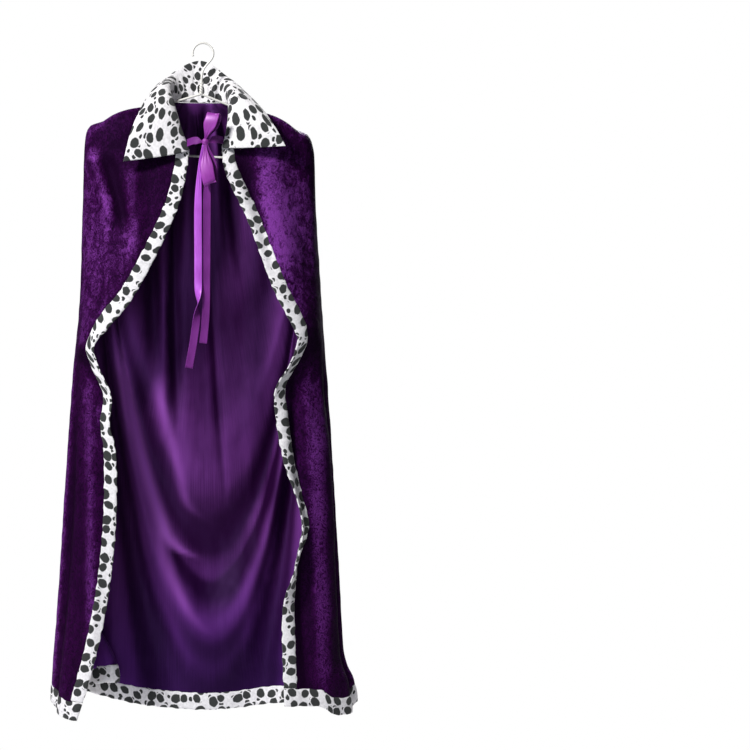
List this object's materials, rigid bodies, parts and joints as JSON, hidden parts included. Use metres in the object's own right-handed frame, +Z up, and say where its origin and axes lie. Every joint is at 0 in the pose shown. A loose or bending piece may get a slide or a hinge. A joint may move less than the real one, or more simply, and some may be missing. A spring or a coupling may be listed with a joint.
{
  "type": "king cape",
  "caption": "Long velvet king cape with a spotted plush collar and trims and a ribbon bow, hanging open on a wire hanger.",
  "frame": {"origin": "the inside of the top of the hanger's hook, where it rests on a rail", "axes": "+Z up, the front of the cape faces -Y, and +X is to the right as seen from the front"},
  "size_m": [0.5648, 0.1651, 1.244],
  "materials": {
    "velvet": "purple crushed velvet, with a smooth satin-like wrong side",
    "plush": "short white plush printed with dark oval spots",
    "satin": "bright purple satin ribbon",
    "coated_wire": "pale coated steel wire"
  },
  "bodies": {
    "root": {"velvet_body": "velvet", "trim_front_left": "plush", "trim_front_right": "plush", "trim_hem": "plush", "collar": "plush", "tie_left": "satin", "tie_right": "satin", "bow_knot": "satin", "bow_loop_up": "satin", "bow_loop_down": "satin", "tie_tail_left": "satin", "tie_tail_right": "satin", "hanger": "coated_wire"}
  },
  "joints": []
}
